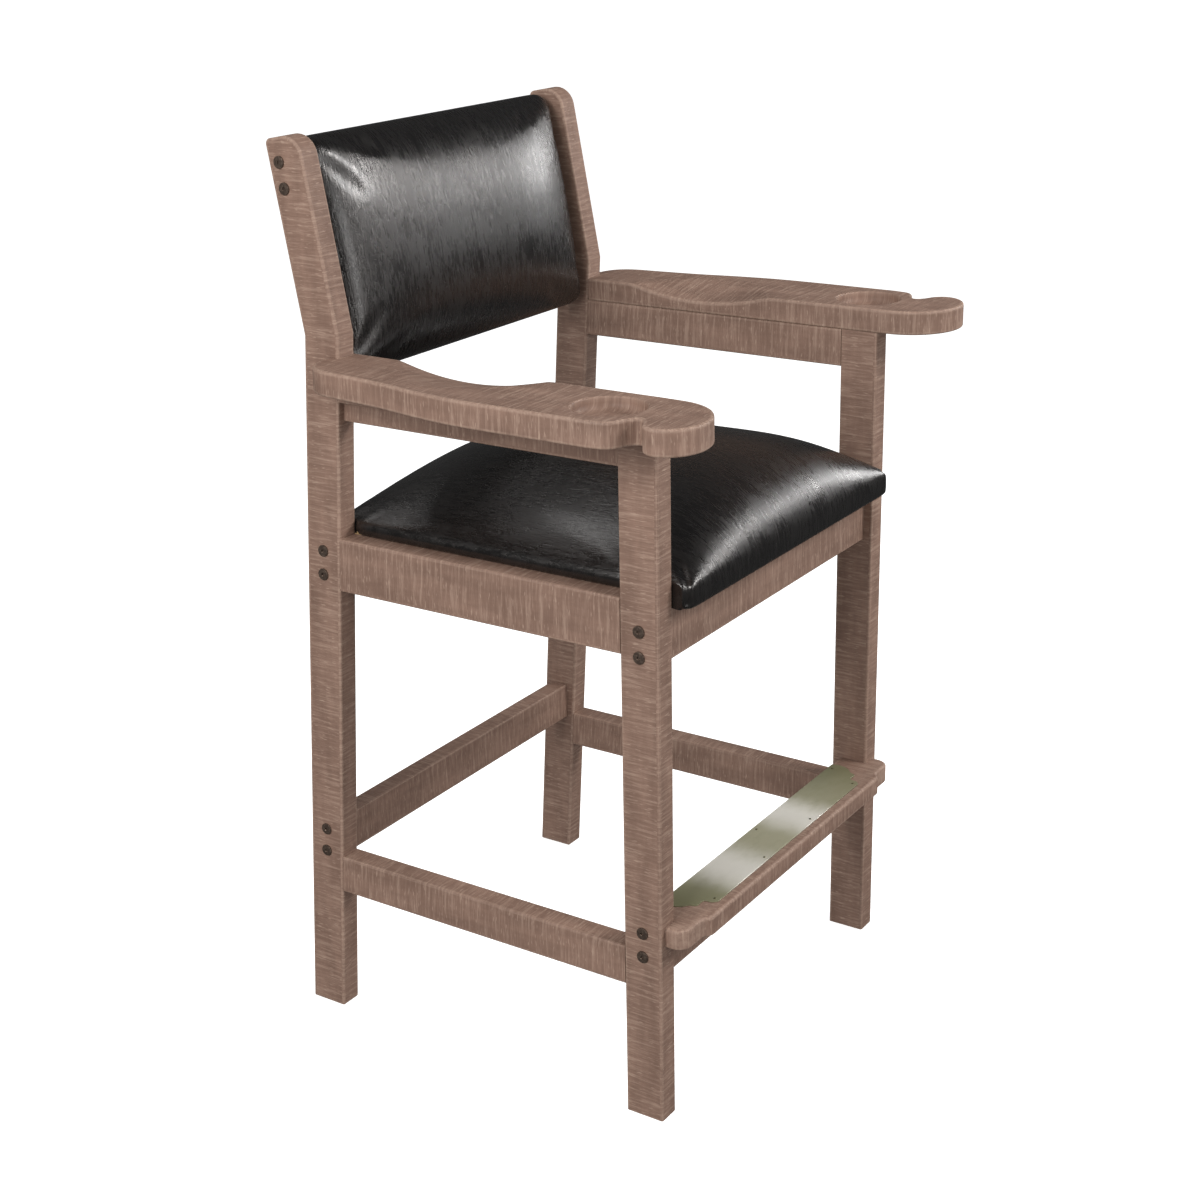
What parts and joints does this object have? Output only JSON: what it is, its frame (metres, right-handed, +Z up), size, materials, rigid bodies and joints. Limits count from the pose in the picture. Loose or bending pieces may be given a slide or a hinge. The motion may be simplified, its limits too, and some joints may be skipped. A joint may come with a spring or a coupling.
{
  "type": "spectator chair",
  "caption": "Bar-height wooden armchair with padded seat and back, a footrest under a kick plate, and wide arms with a cup recess and a notch for a cue.",
  "frame": {"origin": "on the floor under the middle of the chair's overall width and depth", "axes": "+Z up, -Y the way the sitter faces, +X the sitter's left"},
  "size_m": [0.7742, 0.6512, 1.1832],
  "materials": {
    "frame_wood": "worn satin stain over rough-sawn hardwood",
    "plain_wood": "bare",
    "brass_plate": "brushed, slightly tarnished",
    "zinc_steel": "zinc plated",
    "foam": "open-cell foam",
    "vinyl": "glossy embossed vinyl",
    "bolt_bronze": "dark bronze, satin"
  },
  "bodies": {
    "root": {"leg_front_left": "frame_wood", "leg_front_right": "frame_wood", "leg_rear_left": "frame_wood", "leg_rear_right": "frame_wood", "seat_rail_left": "frame_wood", "seat_rail_right": "frame_wood", "seat_rail_front": "frame_wood", "seat_rail_rear": "frame_wood", "stretcher_left": "frame_wood", "stretcher_right": "frame_wood", "stretcher_rear": "frame_wood", "footrest_rail": "frame_wood", "footrest_board": "frame_wood", "kick_plate": "brass_plate", "kick_plate_nails": "brass_plate", "arm_rail_left": "frame_wood", "arm_rail_right": "frame_wood", "arm_cleat_left": "frame_wood", "arm_cleat_right": "frame_wood", "arm_left": "frame_wood", "arm_right": "frame_wood", "arm_screws": "zinc_steel", "seat_board": "plain_wood", "seat_foam": "foam", "seat_cover": "vinyl", "corner_blocks": "plain_wood", "seat_screws": "zinc_steel", "back_board": "plain_wood", "back_foam": "foam", "back_cover": "vinyl", "back_rear_panel": "vinyl", "frame_bolts_left": "bolt_bronze", "frame_bolts_right": "bolt_bronze", "barrel_nuts": "zinc_steel", "dowels": "plain_wood"}
  },
  "joints": []
}
